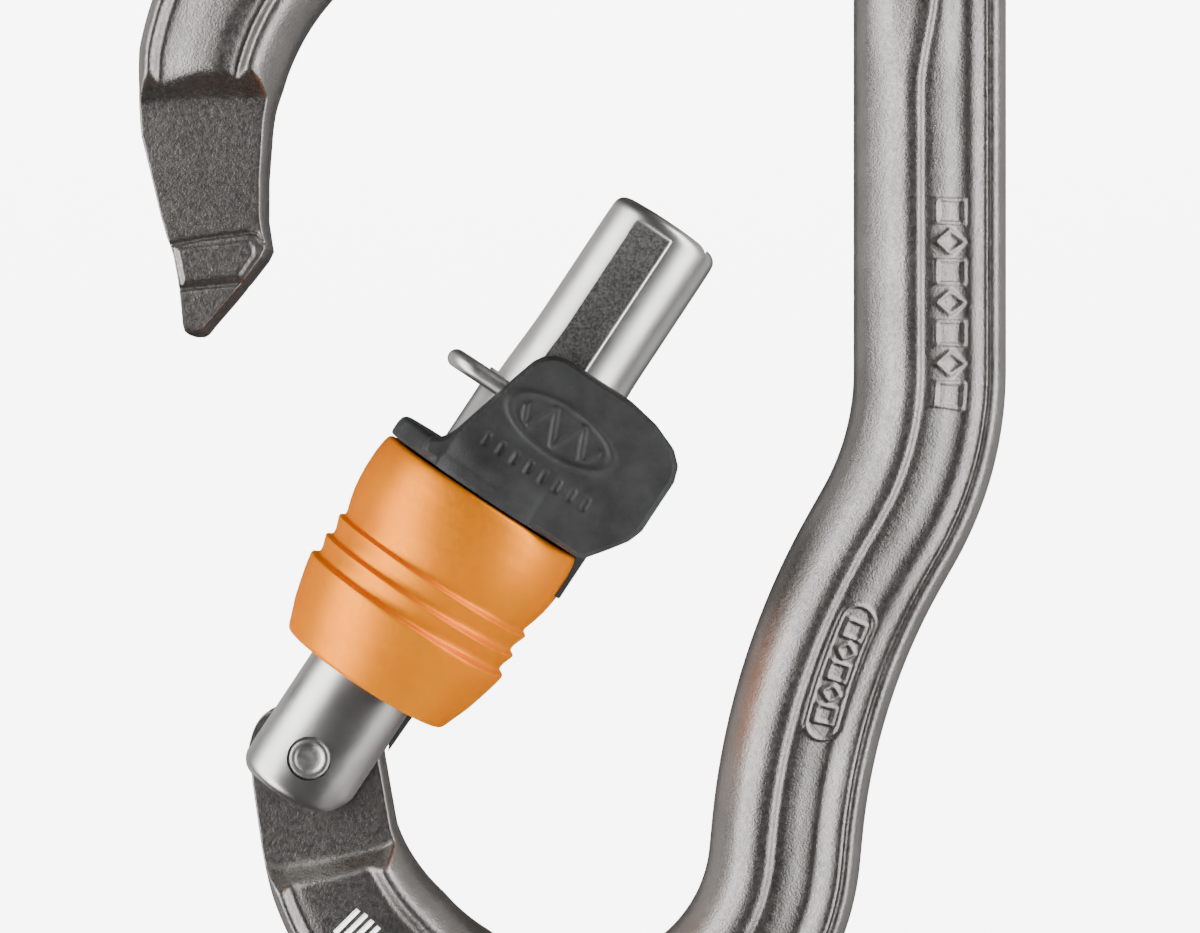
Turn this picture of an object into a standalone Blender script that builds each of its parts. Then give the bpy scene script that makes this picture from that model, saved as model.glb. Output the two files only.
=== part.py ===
"""Locking carabiner: forged frame, turned gate, and a sprung lock sleeve that carries a wire bail.

The carabiner stands upright in the XZ plane with its open side towards -X. The origin is the
highest point inside the upper basket. The gate is open and the sleeve is pulled back.
All the sizes below are in millimetres and degrees; MM turns them into metres.
"""

import math

import bmesh
import bpy
import numpy as np
from mathutils import Matrix, Vector

MM = 0.001
GAP = 0.3  # between neighbouring pieces

# Frame: the bar's centreline, as lines (length) and arcs (radius, turn).
SPINE_TOP = (22.85, -12.2)
ARCH = (("arc", 18.36, 80.0), ("arc", 44.42, 60.0), ("arc", 24.6, 40.0), ("line", 16.9))
BODY = (
    ("line", 32.8),
    ("arc", 27.0, -29.5),
    ("line", 2.5),
    ("arc", 60.0, 24.0),
    ("line", 2.4),
    ("arc", 17.8, -117.5),
    ("line", 2.5),
    ("arc", 22.0, -46.0),
    ("line", 11.08),
)
NECK_PAST_PIVOT = 4.5  # length of the last line beyond the pivot
STEP = 2.2  # distance between the bar's sections
BAR_HALF = 6.52
THICK_HALF = 5.5
PLATE_HALF = 2.75

# Half of the bar's section, from its inner edge to its outer edge: across, height.
I_SECTION = (
    (-6.52, 0.0), (-6.4, 1.7), (-6.0, 3.2), (-5.2, 4.6), (-4.2, 5.3), (-3.3, 5.5),
    (-2.3, 5.2), (-1.5, 4.4), (-0.7, 3.75), (0.5, 3.55), (1.9, 3.65), (2.8, 4.1),
    (3.7, 4.95), (4.6, 5.0), (5.5, 4.5), (6.1, 3.4), (6.45, 1.8), (6.52, 0.0),
)
PLATE_SECTION = (
    (-6.52, 0.0), (-6.47, 1.3), (-6.38, 2.1), (-6.2, 2.55), (-5.8, 2.75), (-4.4, 2.75),
    (-2.9, 2.75), (-1.5, 2.75), (-0.6, 2.75), (0.5, 2.75), (1.7, 2.75), (2.9, 2.75),
    (4.4, 2.75), (5.8, 2.75), (6.2, 2.55), (6.38, 2.1), (6.47, 1.3), (6.52, 0.0),
)

# Nose: distance from its tip, inner edge, outer edge, how far it is a plate (0 to 1).
NOSE = (
    (0.0, -0.05, 0.75, 1.0), (0.3, 0.4, 1.15, 1.0), (0.9, 0.85, 1.3, 1.0),
    (3.1, 2.85, 1.55, 1.0), (4.8, 4.3, 1.8, 1.0), (6.6, 5.75, 2.15, 1.0),
    (7.4, 6.15, 2.4, 1.0), (8.3, 6.0, 2.75, 1.0), (10.0, 5.75, 3.25, 1.0),
    (13.5, 5.78, 4.1, 1.0), (16.9, 6.05, 4.95, 1.0), (20.3, 6.2, 5.45, 1.0),
    (23.0, 6.45, 6.1, 0.0), (28.0, 6.52, 6.5, 0.0),
)
# Hinge end: distance from the pivot back along the bar, inner edge, outer edge, plate.
NECK = (
    (0.0, 5.8, 5.6, 1.0), (8.0, 5.65, 6.0, 1.0), (10.2, 5.8, 6.2, 0.0), (18.0, 6.52, 6.5, 0.0),
)
END_FROM = -1.5  # the tongue's sections lean towards its curved end from here

# Gate hinge and the cam on the end of the frame's tongue: direction, distance from the pivot.
PIVOT = (-30.0, -77.8)
GATE_LEAN = 33.5  # how far the open gate leans from upright
CAM = (
    (-86.0, 5.5), (-75.0, 5.45), (-63.0, 5.5), (-51.0, 5.45), (-40.0, 5.0), (-8.0, 4.2),
    (33.5, 5.7), (45.0, 5.45), (75.0, 5.5), (93.0, 5.95),
)
RIVET_R, RIVET_HEAD_R, RIVET_HALF, HEAD_FROM = 1.5, 1.85, 5.35, 4.3
RUNNING = 0.05  # radial clearance of a shaft in its hole

# Gate, in its own frame: X across, Z along it from the pivot.
GATE_PROFILE = (
    (0.0, 54.5), (4.5, 54.5), (5.1, 54.15), (5.4, 53.4), (5.5, 52.5), (5.5, 41.5),
    (5.75, 36.0), (5.75, -1.6), (5.1, -3.1), (3.6, -4.1), (0.0, -4.1),
)
SLOT_HALF = PLATE_HALF + GAP
HINGE_SLOT_TOP = 7.6
NOSE_SLOT_FROM, NOSE_SLOT_WALL = 36.0, 4.3
FACET = (-2.35, 1.6, 27.0, 53.3, 5.12)  # left, right, from, to, distance from the middle
BORE_R, BORE_TOP = 2.0, 22.0
SEAT_FROM, SEAT_TO, SEAT_R, SEAT_GROOVE_R = 19.8, 20.8, 6.75, 5.1
BARREL_R = 5.75

# Lock sleeve, in the gate's frame.
RING_OUTSIDE = (
    (9.6, 26.2), (10.0, 25.0), (10.0, 23.0), (9.75, 21.0), (9.2, 18.6), (9.55, 18.2),
    (9.2, 16.7), (9.6, 16.2), (9.35, 14.7), (9.8, 14.1), (9.3, 11.9), (8.75, 10.0),
    (8.15, 8.5), (7.95, 7.7),
)
RING_LIP_R, RING_LIP_TO, RING_BORE_R = 7.1, 10.6, 8.2
BORE_CLEAR_R = BARREL_R + GAP
SKIRT_R, SKIRT_FROM, SPRING_ROOM_R = RING_BORE_R - GAP, 12.6, 7.1
COLLAR_R, COLLAR_FROM, COLLAR_TO = 9.8, 26.5, 28.5
CHEEK_OUTLINE = (
    (-5.2, 26.8), (-4.9, 29.0), (-4.0, 33.0), (-3.1, 36.6), (-2.6, 38.4), (-2.0, 39.3),
    (-0.9, 39.9), (6.0, 40.0), (8.9, 39.5), (11.4, 38.5), (12.4, 37.6), (12.75, 36.3),
    (12.75, 31.6), (12.3, 30.0), (11.1, 28.0), (10.3, 26.8),
)
CHEEK_HALF, CHEEK_ROUND = 8.7, 1.1
RIB = (10.35, 11.1, 2.6, 22.6, 28.5)  # inside, outside, half width, from, to
WINDOW = (8.4, 10.3, 4.1, 7.5, 34.6, 41.0)  # in, out, near, far, from, to

WIRE_R, WIRE_AT, WIRE_LEG, WIRE_BIGHT, WIRE_BACK, WIRE_TURN = 0.8, 34.95, 6.85, -8.3, 9.3, 2.2
WIRE_END = 1.2

# Springs: wire radius, coil radius, from, to, turns.
SLEEVE_SPRING = (0.3, 6.42, 21.15, 25.95, 4.5)
GATE_SPRING = (0.22, 1.55, 11.0, 21.7, 9.0)
PLUNGER_STEM = ((0.0, 13.0), (0.95, 13.0), (0.95, 10.6), (1.95, 10.6), (1.95, 7.0), (0.0, 7.0))
PLUNGER_SHOE = (
    (-1.95, 7.3), (-1.95, 6.7), (-1.2, 6.2), (0.0, 6.0), (0.8, 6.1), (1.6, 6.45), (2.7, 6.4),
    (3.8, 6.1), (4.3, 5.35), (4.8, 4.55), (5.2, 3.75), (5.3, 7.3),
)
SHOE_HALF = 2.6


def clear_scene():
    for obj in list(bpy.data.objects):
        bpy.data.objects.remove(obj, do_unlink=True)


def new_collection(name):
    made = bpy.data.collections.new(name)
    bpy.context.scene.collection.children.link(made)
    return made


def new_material(name, colour, metallic, roughness):
    made = bpy.data.materials.new(name)
    made.use_nodes = True
    shader = made.node_tree.nodes["Principled BSDF"]
    shader.inputs["Base Color"].default_value = (*colour, 1.0)
    shader.inputs["Metallic"].default_value = metallic
    shader.inputs["Roughness"].default_value = roughness
    return made


def new_object(name, data, collection):
    made = bpy.data.objects.new(name, data)
    collection.objects.link(made)
    return made


def mesh_from(name, points, faces, collection):
    mesh = bpy.data.meshes.new(name)
    mesh.from_pydata([Vector(p) * MM for p in points], [], faces)
    shape = bmesh.new()
    shape.from_mesh(mesh)
    bmesh.ops.recalc_face_normals(shape, faces=shape.faces)
    shape.to_mesh(mesh)
    shape.free()
    return new_object(name, mesh, collection)


def cutter(obj):
    obj.hide_render = True
    obj.display_type = "WIRE"
    return obj


def cut(target, tool, operation="DIFFERENCE"):
    modifier = target.modifiers.new(tool.name, "BOOLEAN")
    modifier.operation = operation
    modifier.solver = "EXACT"
    modifier.object = tool


def on_gate(obj):
    """Moves an object from the gate's own frame to where the open gate stands."""
    obj.location = (PIVOT[0] * MM, 0.0, PIVOT[1] * MM)
    obj.rotation_euler = (0.0, math.radians(GATE_LEAN), 0.0)
    return obj


def turned(name, profile, collection, steps=48, ring=False):
    """A solid turned about Z. The profile is (radius, height), outer side top to bottom."""
    points = [(r * MM, 0.0, z * MM) for r, z in profile]
    edges = [(i, i + 1) for i in range(len(points) - 1)]
    if ring:
        edges.append((len(points) - 1, 0))
    mesh = bpy.data.meshes.new(name)
    mesh.from_pydata(points, edges, [])
    made = new_object(name, mesh, collection)
    screw = made.modifiers.new("turn", "SCREW")
    screw.axis = "Z"
    screw.steps = screw.render_steps = steps
    screw.use_merge_vertices = True
    screw.merge_threshold = 0.00001
    return made


def rod(name, radius, low, high, collection, axis="Z", steps=32):
    """A cylinder along Z, or along Y through the pivot."""
    made = turned(name, ((0.0, high), (radius, high), (radius, low), (0.0, low)), collection, steps)
    if axis == "Y":
        made.data.transform(Matrix.Rotation(math.radians(-90.0), 4, "X"))
        made.modifiers["turn"].axis = "Y"
    return made


def box(name, low, high, collection):
    corners = [(x, y, z) for x in (low[0], high[0]) for y in (low[1], high[1]) for z in (low[2], high[2])]
    faces = [(0, 1, 3, 2), (4, 6, 7, 5), (0, 4, 5, 1), (2, 3, 7, 6), (0, 2, 6, 4), (1, 5, 7, 3)]
    return mesh_from(name, corners, faces, collection)


def prism(name, outline, half, collection):
    """An outline in XZ, as thick as twice half."""
    count = len(outline)
    points = [(x, y, z) for y in (-half, half) for x, z in outline]
    sides = [(i, (i + 1) % count, (i + 1) % count + count, i + count) for i in range(count)]
    caps = [tuple(range(count)), tuple(range(2 * count - 1, count - 1, -1))]
    return mesh_from(name, points, sides + caps, collection)


def wire(name, points, radius, collection):
    curve = bpy.data.curves.new(name, "CURVE")
    curve.dimensions = "3D"
    curve.bevel_depth = radius * MM
    curve.bevel_resolution = 2
    curve.use_fill_caps = True
    spline = curve.splines.new("POLY")
    spline.points.add(len(points) - 1)
    for place, point in zip(spline.points, points):
        place.co = (*(c * MM for c in point), 1.0)
    return new_object(name, curve, collection)


def as_mesh(obj, collection):
    """A mesh copy of a curve, which a Boolean can use."""
    graph = bpy.context.evaluated_depsgraph_get()
    mesh = bpy.data.meshes.new_from_object(obj.evaluated_get(graph))
    shape = bmesh.new()
    shape.from_mesh(mesh)
    bmesh.ops.remove_doubles(shape, verts=shape.verts, dist=1e-7)
    bmesh.ops.recalc_face_normals(shape, faces=shape.faces)
    shape.to_mesh(mesh)
    shape.free()
    made = new_object(obj.name + "_mesh", mesh, collection)
    bpy.data.objects.remove(obj, do_unlink=True)
    return made


def walk(start, heading, steps, spacing=0.2):
    """Points (x, z, heading) along a chain of lines and arcs, about a spacing apart."""
    x, z = start
    found = [(x, z, heading)]
    for kind, size, *turn in steps:
        arc = math.radians(turn[0]) if kind == "arc" else 0.0
        length = size * abs(arc) if kind == "arc" else size
        count = max(1, round(length / spacing))
        for _ in range(count):
            heading += math.degrees(arc) / count / 2
            x += length / count * math.cos(math.radians(heading))
            z += length / count * math.sin(math.radians(heading))
            heading += math.degrees(arc) / count / 2
            found.append((x, z, heading))
    return found


def frame_path():
    """Rows of distance, x, z and heading, from the nose's tip round to the tongue's end."""
    arch = [(x, z, h + 180.0) for x, z, h in reversed(walk(SPINE_TOP, 90.0, ARCH))]
    body = [(x, z, h) for x, z, h in walk(SPINE_TOP, 270.0, BODY)[1:]]
    path = np.array(arch + body)
    steps = np.hypot(*np.diff(path[:, :2], axis=0).T)
    return np.column_stack([np.concatenate([[0.0], np.cumsum(steps)]), path]).T


def stations(pivot_at, end):
    """Distances of the bar's sections: at every key of the two ends, and evenly between."""
    nose = [row[0] for row in NOSE] + [21.6]
    neck = [pivot_at - row[0] for row in NECK] + [pivot_at - 9.1]
    tongue = list(np.linspace(pivot_at + END_FROM, end, 6))
    middle = np.linspace(NOSE[-1][0], pivot_at - NECK[-1][0], round((end - 40.0) / STEP))
    return sorted(set(np.round(nose + neck + tongue + list(middle[1:-1]), 3)))


def tongue_top():
    """The height of the tongue's cam above the pivot, for each place across the bar."""
    angles = np.linspace(CAM[0][0], CAM[-1][0], 90)
    radii = np.interp(angles, *zip(*CAM))
    x, z = radii * np.sin(np.radians(angles)), radii * np.cos(np.radians(angles))
    heading = math.radians(270.0 + sum(step[2] for step in BODY if step[0] == "arc"))
    across = z * math.cos(heading) - x * math.sin(heading)
    along = x * math.cos(heading) + z * math.sin(heading)
    order = np.argsort(across)
    return across[order], along[order]


def section(distance, before_pivot):
    """The bar's section there: points (across, height) from its inner to its outer edge."""
    from_nose = [np.interp(distance, [r[0] for r in NOSE], [r[k] for r in NOSE]) for k in (1, 2, 3)]
    from_neck = [np.interp(before_pivot, [r[0] for r in NECK], [r[k] for r in NECK]) for k in (1, 2, 3)]
    inner, outer, plate = from_nose if distance < before_pivot else from_neck
    shape = np.array(I_SECTION) * (1 - plate) + np.array(PLATE_SECTION) * plate
    share = (shape[:, 0] / BAR_HALF + 1) / 2
    height = shape[:, 1] * np.interp(distance, (0.0, 0.3, 0.9), (0.82, 0.94, 1.0))
    return (inner + outer) * share - inner, height


def frame_rings():
    path = frame_path()
    end = path[0, -1]
    pivot_at = end - NECK_PAST_PIVOT
    top = tongue_top()
    rings = []
    for distance in stations(pivot_at, end):
        x, z, heading = (np.interp(distance, path[0], row) for row in path[1:])
        across, height = section(distance, pivot_at - distance)
        lean = (distance - pivot_at - END_FROM) / (NECK_PAST_PIVOT - END_FROM)
        along = max(lean, 0.0) * (np.interp(across, *top) - NECK_PAST_PIVOT)
        turn = math.radians(heading)
        xs = x - across * math.sin(turn) + along * math.cos(turn)
        zs = z + across * math.cos(turn) + along * math.sin(turn)
        upper = list(zip(xs, height, zs))
        lower = [(px, -py, pz) for px, py, pz in upper[-2:0:-1]]
        rings.append(upper + lower)
    return rings


def loft(name, rings, collection):
    """A skin over rings that mirror about y = 0, with both ends closed by strips."""
    count = len(rings[0])
    points = [point for ring in rings for point in ring]
    faces = []
    for k in range(len(rings) - 1):
        for i in range(count):
            j = (i + 1) % count
            faces.append((k * count + i, k * count + j, (k + 1) * count + j, (k + 1) * count + i))
    for start in (0, (len(rings) - 1) * count):
        for i in range(count // 2):
            corners = [start + i, start + i + 1, start + (count - i - 1) % count, start + (count - i) % count]
            faces.append(tuple(dict.fromkeys(corners)))
    return mesh_from(name, points, faces, collection)


def build_frame(parts, cutters):
    frame = loft("frame", frame_rings(), parts)
    bore = on_gate(rod("hinge_bore", RIVET_R + RUNNING, -4.0, 4.0, cutters, "Y"))
    cut(frame, cutter(bore))
    return frame


def build_rivet(parts):
    half = (
        (0.0, RIVET_HALF - 0.25), (0.8, RIVET_HALF - 0.2), (1.2, RIVET_HALF), (1.6, RIVET_HALF - 0.1),
        (RIVET_HEAD_R, RIVET_HALF - 0.4), (RIVET_HEAD_R, HEAD_FROM), (RIVET_R, HEAD_FROM),
    )
    profile = half + tuple((r, -z) for r, z in reversed(half))
    rivet = turned("hinge_rivet", profile, parts, 32)
    rivet.location = (PIVOT[0] * MM, 0.0, PIVOT[1] * MM)
    rivet.rotation_euler = (math.radians(90.0), 0.0, 0.0)
    return rivet


def build_gate(parts, cutters):
    gate = on_gate(turned("gate", GATE_PROFILE, parts))
    left, right, low, high, face = FACET
    groove = ((8.0, SEAT_TO + 0.3), (8.0, SEAT_FROM - 0.3), (SEAT_GROOVE_R, SEAT_FROM - 0.3))
    tools = [
        box("hinge_slot", (-9, -SLOT_HALF, -9), (9, SLOT_HALF, HINGE_SLOT_TOP), cutters),
        box("nose_slot", (-9, -SLOT_HALF, NOSE_SLOT_FROM), (NOSE_SLOT_WALL, SLOT_HALF, 60), cutters),
        rod("spring_bore", BORE_R, 5.0, BORE_TOP, cutters),
        rod("rivet_bore", RIVET_R + RUNNING, -8.0, 8.0, cutters, "Y"),
        rod("rivet_head_near", RIVET_HEAD_R + RUNNING, -9.0, -HEAD_FROM + RUNNING, cutters, "Y"),
        rod("rivet_head_far", RIVET_HEAD_R + RUNNING, HEAD_FROM - RUNNING, 9.0, cutters, "Y"),
        box("facet_near", (left, -9, low), (right, -face, high), cutters),
        box("facet_far", (left, face, low), (right, 9, high), cutters),
        turned("seat_groove", groove + ((SEAT_GROOVE_R, SEAT_TO + 0.3),), cutters, ring=True),
    ]
    for tool in tools:
        cut(gate, cutter(on_gate(tool)))
    return gate


def build_plunger(parts, cutters):
    """A stem in the gate's bore, with a shoe that lies round the open tongue's corner."""
    plunger = on_gate(turned("gate_plunger", PLUNGER_STEM, parts, 24))
    shoe = on_gate(prism("shoe", PLUNGER_SHOE, SHOE_HALF, cutters))
    cut(plunger, cutter(shoe), "UNION")
    return plunger


def coil(name, spring, parts):
    radius, coil_r, low, high, turns = spring
    count = round(turns * 16)
    points = []
    for i in range(count + 1):
        angle = 2 * math.pi * turns * i / count
        height = low + radius + (high - low - 2 * radius) * i / count
        points.append((coil_r * math.cos(angle), coil_r * math.sin(angle), height))
    return on_gate(wire(name, points, radius, parts))


def build_seat(parts):
    inside = SEAT_GROOVE_R + GAP
    profile = ((SEAT_R, SEAT_TO), (SEAT_R, SEAT_FROM), (inside, SEAT_FROM), (inside, SEAT_TO))
    return on_gate(turned("spring_seat", profile, parts, ring=True))


def build_ring(parts):
    low, high = RING_OUTSIDE[-1][1], RING_OUTSIDE[0][1]
    inside = ((RING_LIP_R, low), (RING_LIP_R, RING_LIP_TO), (RING_BORE_R, RING_LIP_TO), (RING_BORE_R, high))
    return on_gate(turned("sleeve_ring", RING_OUTSIDE + inside, parts, 56, ring=True))


def build_bush(parts):
    low = RING_OUTSIDE[-1][1] + GAP
    step, high = RING_LIP_TO + GAP, SKIRT_FROM - GAP
    profile = (
        (SKIRT_R, high), (SKIRT_R, step), (RING_LIP_R - GAP, step), (RING_LIP_R - GAP, low),
        (BORE_CLEAR_R, low), (BORE_CLEAR_R, high),
    )
    return on_gate(turned("sleeve_bush", profile, parts, ring=True))


def wire_path():
    """The bail's centreline: a squared U round the gate, its two ends turned in at the back."""
    corner, points = 2.4, []
    back = [(WIRE_BACK, WIRE_END)]
    for turn_x, turn_y, radius, first in (
        (WIRE_BACK - WIRE_TURN, WIRE_LEG - WIRE_TURN, WIRE_TURN, 0.0),
        (WIRE_BIGHT + corner, WIRE_LEG - corner, corner, 90.0),
    ):
        for step in range(7):
            angle = math.radians(first + 90.0 * step / 6)
            back.append((turn_x + radius * math.cos(angle), turn_y + radius * math.sin(angle)))
    for x, y in back:
        points.append((x, y, WIRE_AT))
    return points + [(x, -y, z) for x, y, z in reversed(points)]


def build_cap(parts, cutters):
    collar = (
        (SPRING_ROOM_R - 0.4, COLLAR_TO), (COLLAR_R - 0.5, COLLAR_TO), (COLLAR_R, COLLAR_TO - 0.5),
        (COLLAR_R, COLLAR_FROM), (SKIRT_R, COLLAR_FROM), (SKIRT_R, SKIRT_FROM), (SPRING_ROOM_R, SKIRT_FROM),
        (SPRING_ROOM_R, COLLAR_FROM - 0.2), (BORE_CLEAR_R, COLLAR_FROM - 0.2), (BORE_CLEAR_R, COLLAR_TO),
    )
    cap = on_gate(turned("lock_cap", collar, parts, ring=True))
    cheeks = prism("cheeks", CHEEK_OUTLINE, CHEEK_HALF, cutters)
    soften = cheeks.modifiers.new("soften", "BEVEL")
    soften.width, soften.segments, soften.limit_method = CHEEK_ROUND * MM, 2, "ANGLE"
    soften.angle_limit = math.radians(50.0)
    inside, outside, half, low, high = RIB
    rib = box("rib", (inside, -half, low), (outside, half, high), cutters)
    passage = rod("passage", BORE_CLEAR_R, COLLAR_FROM - 1.0, 45.0, cutters, steps=48)
    near, far, start, stop, low, high = WINDOW
    windows = [
        box("window_near", (near, -stop, low), (far, -start, high), cutters),
        box("window_far", (near, start, low), (far, stop, high), cutters),
    ]
    channel = as_mesh(wire("wire_channel", wire_path(), WIRE_R + 0.25, cutters), cutters)
    for tool in (cheeks, rib):
        cut(cap, cutter(on_gate(tool)), "UNION")
    for tool in (passage, channel, *windows):
        cut(cap, cutter(on_gate(tool)))
    return cap


def build_bail(parts):
    return on_gate(wire("lock_wire", wire_path(), WIRE_R, parts))


def main():
    clear_scene()
    parts, cutters = new_collection("locking_carabiner"), new_collection("cutters")
    alloy = new_material("anodised alloy", (0.42, 0.40, 0.38), 1.0, 0.42)
    bright = new_material("turned alloy", (0.72, 0.71, 0.69), 1.0, 0.3)
    steel = new_material("steel", (0.6, 0.6, 0.6), 1.0, 0.25)
    orange = new_material("orange anodising", (0.9, 0.3, 0.01), 1.0, 0.4)
    black = new_material("black nylon", (0.02, 0.02, 0.02), 0.0, 0.6)
    for made, slot in (
        (build_frame(parts, cutters), alloy),
        (build_rivet(parts), steel),
        (build_gate(parts, cutters), bright),
        (build_plunger(parts, cutters), black),
        (coil("gate_spring", GATE_SPRING, parts), steel),
        (build_seat(parts), steel),
        (build_ring(parts), orange),
        (build_bush(parts), black),
        (build_cap(parts, cutters), black),
        (build_bail(parts), steel),
        (coil("sleeve_spring", SLEEVE_SPRING, parts), steel),
    ):
        made.data.materials.append(slot)
    bpy.context.view_layer.update()


main()
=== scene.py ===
"""Looks of the locking carabiner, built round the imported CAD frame.

The bar, gate and sleeve are rebuilt here as fine meshes in the frame's own coordinates. The origin
is the crown of the upper basket, +Z is up and the camera looks along +Y. Sizes are in millimetres
and degrees; MM turns them into metres.
"""

import math

import bmesh
import bpy
import numpy as np
from mathutils import Matrix, Vector


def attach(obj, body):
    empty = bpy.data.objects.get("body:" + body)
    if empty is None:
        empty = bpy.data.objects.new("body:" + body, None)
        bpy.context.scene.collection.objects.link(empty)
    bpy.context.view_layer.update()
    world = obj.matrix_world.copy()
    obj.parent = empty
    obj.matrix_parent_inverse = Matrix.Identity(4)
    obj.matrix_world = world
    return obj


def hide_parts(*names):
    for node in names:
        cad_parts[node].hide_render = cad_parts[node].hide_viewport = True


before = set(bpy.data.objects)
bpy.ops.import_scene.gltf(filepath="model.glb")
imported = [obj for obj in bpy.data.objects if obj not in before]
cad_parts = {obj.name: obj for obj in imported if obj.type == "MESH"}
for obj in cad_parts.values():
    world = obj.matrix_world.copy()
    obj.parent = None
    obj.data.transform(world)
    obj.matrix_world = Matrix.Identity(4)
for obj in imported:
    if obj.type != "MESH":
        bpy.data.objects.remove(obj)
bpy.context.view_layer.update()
MM = 0.001

# The bar's centreline, as lines (length) and arcs (radius, turn).
SPINE_TOP = (22.85, -12.2)
ARCH = (("arc", 18.36, 80.0), ("arc", 44.42, 60.0), ("arc", 24.6, 40.0), ("line", 16.9))
BODY = (
    ("line", 32.8), ("arc", 27.0, -29.5), ("line", 2.5), ("arc", 60.0, 24.0), ("line", 2.4),
    ("arc", 17.8, -117.5), ("line", 2.5), ("arc", 22.0, -46.0), ("line", 11.08),
)
NECK_PAST_PIVOT = 4.5
END_FROM = -1.5
BAR_HALF = 6.52
PLATE_HALF = 2.75
NOSE = (
    (0.0, -0.05, 0.75), (0.3, 0.4, 1.15), (0.9, 0.85, 1.3), (3.1, 2.85, 1.55), (4.8, 4.3, 1.8),
    (6.6, 5.75, 2.15), (7.4, 6.15, 2.4), (8.3, 6.0, 2.75), (10.0, 5.75, 3.25), (13.5, 5.78, 4.1),
    (16.9, 6.05, 4.95), (20.3, 6.2, 5.45), (23.0, 6.45, 6.1), (28.0, 6.52, 6.5),
)
NECK = ((0.0, 5.8, 5.6), (8.0, 5.65, 6.0), (10.2, 5.8, 6.2), (18.0, 6.52, 6.5))
PIVOT = (-30.0, -77.8)
GATE_LEAN = 33.5
CAM = (
    (-86.0, 5.5), (-75.0, 5.45), (-63.0, 5.5), (-51.0, 5.45), (-40.0, 5.0), (-8.0, 4.2),
    (33.5, 5.7), (45.0, 5.45), (75.0, 5.5), (93.0, 5.95),
)
NOSE_SHOULDER, NECK_SHOULDER, SHOULDER_RISE = 20.6, 8.2, 1.15

# Half sections of the bar, from its inner edge to its outer edge: across, height.
SPINE_SECTION = (
    (-6.52, 0.0), (-6.3, 1.45), (-5.75, 2.7), (-5.0, 3.65), (-4.1, 4.5), (-3.3, 5.02), (-2.6, 5.38),
    (-1.95, 5.48), (-1.55, 5.4), (-1.2, 5.08), (-0.95, 4.96), (-0.3, 4.9), (0.7, 4.6), (1.7, 4.15),
    (2.3, 3.95), (2.8, 3.9), (3.3, 4.02), (4.0, 4.42), (4.3, 4.52), (4.45, 4.38), (4.75, 4.5),
    (5.3, 4.28), (5.85, 3.5), (6.3, 2.2), (6.46, 1.1), (6.52, 0.0),
)
LOWER_SECTION = (
    (-6.52, 0.0), (-6.35, 1.4), (-5.9, 2.7), (-5.25, 3.8), (-4.5, 4.6), (-3.7, 5.1), (-3.0, 5.4),
    (-2.3, 5.48), (-1.8, 5.35), (-1.4, 5.0), (-1.1, 4.88), (-0.6, 4.9), (0.2, 4.7), (1.1, 4.35),
    (1.7, 4.15), (2.2, 4.1), (2.7, 4.3), (3.6, 4.8), (4.2, 4.95), (4.5, 4.75), (4.8, 4.9),
    (5.3, 4.7), (5.85, 3.8), (6.3, 2.3), (6.46, 1.1), (6.52, 0.0),
)
NECK_SECTION = (
    (-6.52, 0.0), (-6.4, 1.6), (-6.15, 2.9), (-5.75, 3.9), (-5.3, 4.7), (-4.9, 5.2), (-4.55, 5.43),
    (-4.25, 5.48), (-3.9, 5.3), (-3.5, 4.95), (-3.1, 4.8), (-2.2, 4.85), (-0.5, 4.9), (1.5, 4.9),
    (3.0, 4.85), (3.8, 4.72), (4.2, 4.74), (4.6, 5.1), (4.9, 5.35), (5.15, 5.4), (5.45, 5.2),
    (5.75, 4.7), (6.05, 3.9), (6.35, 2.6), (6.48, 1.3), (6.52, 0.0),
)
NOSE_SECTION = (
    (-6.52, 0.0), (-6.35, 1.5), (-5.95, 2.8), (-5.45, 3.9), (-4.9, 4.8), (-4.4, 5.28), (-4.0, 5.45),
    (-3.7, 5.4), (-3.4, 5.05), (-3.1, 4.7), (-2.8, 4.65), (-2.2, 5.0), (-1.0, 5.25), (1.0, 4.95),
    (2.8, 4.5), (3.7, 4.3), (4.1, 4.35), (4.5, 4.75), (4.8, 5.0), (5.05, 5.05), (5.35, 4.85),
    (5.7, 4.4), (6.05, 3.6), (6.35, 2.4), (6.48, 1.2), (6.52, 0.0),
)
ACROSS = 112  # points of a half section


def walk(start, heading, steps, spacing=0.2):
    """Points (x, z, heading) along a chain of lines and arcs, about a spacing apart."""
    x, z = start
    found = [(x, z, heading)]
    for kind, size, *turn in steps:
        arc = math.radians(turn[0]) if kind == "arc" else 0.0
        length = size * abs(arc) if kind == "arc" else size
        count = max(1, round(length / spacing))
        for _ in range(count):
            heading += math.degrees(arc) / count / 2
            x += length / count * math.cos(math.radians(heading))
            z += length / count * math.sin(math.radians(heading))
            heading += math.degrees(arc) / count / 2
            found.append((x, z, heading))
    return found


def frame_path():
    """Rows of distance, x, z and heading, from the nose's tip round to the tongue's end."""
    arch = [(x, z, h + 180.0) for x, z, h in reversed(walk(SPINE_TOP, 90.0, ARCH))]
    body = [(x, z, h) for x, z, h in walk(SPINE_TOP, 270.0, BODY)[1:]]
    path = np.array(arch + body)
    steps = np.hypot(*np.diff(path[:, :2], axis=0).T)
    return np.column_stack([np.concatenate([[0.0], np.cumsum(steps)]), path]).T


PATH = frame_path()
PATH_END = PATH[0, -1]
PIVOT_AT = PATH_END - NECK_PAST_PIVOT
SPINE_AT = PATH[0, np.argmin(np.hypot(PATH[1] - SPINE_TOP[0], PATH[2] - SPINE_TOP[1]))]


def smooth(value, low, high):
    t = np.clip((value - low) / (high - low), 0.0, 1.0)
    return t * t * (3.0 - 2.0 * t)


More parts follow.
